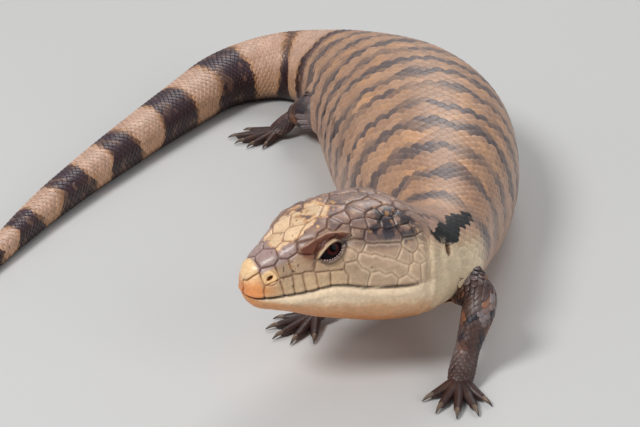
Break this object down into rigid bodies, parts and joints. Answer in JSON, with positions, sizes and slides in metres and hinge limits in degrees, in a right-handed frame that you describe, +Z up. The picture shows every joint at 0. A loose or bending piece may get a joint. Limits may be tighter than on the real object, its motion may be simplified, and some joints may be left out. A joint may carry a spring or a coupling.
{
  "type": "blue-tongued skink",
  "caption": "Life-size still blue-tongued skink with a broad shielded head held up, a banded body lying in a bend, short legs and a tapering tail.",
  "frame": {"origin": "the middle of the footprint's bounding rectangle, on the floor that the belly, tail and feet rest on", "axes": "+Z up; +Y from the head towards the hips, the longest extent; +X to the side that the body bulges to"},
  "size_m": [0.1976, 0.276, 0.0561],
  "materials": {
    "head_skin": "smooth horny shields with a soft sheen",
    "jaw_skin": "smooth pale scales with a soft sheen",
    "body_skin": "smooth overlapping scales with a low sheen",
    "tail_skin": "smooth overlapping scales with a low sheen",
    "leg_skin": "dark smooth scales with a low sheen",
    "eye_surface": "wet gloss"
  },
  "bodies": {
    "root": {"head": "head_skin", "lower_jaw": "jaw_skin", "eye_left": "eye_surface", "eye_right": "eye_surface", "neck": "body_skin", "torso_front": "body_skin", "torso_middle": "body_skin", "torso_rear": "body_skin", "pelvis": "body_skin", "tail_base": "tail_skin", "tail_front": "tail_skin", "tail_rear": "tail_skin", "tail_tip": "tail_skin", "foreleg_left": "leg_skin", "forefoot_left": "leg_skin", "hindleg_left": "leg_skin", "hindfoot_left": "leg_skin", "foreleg_right": "leg_skin", "forefoot_right": "leg_skin", "hindleg_right": "leg_skin", "hindfoot_right": "leg_skin"}
  },
  "joints": []
}
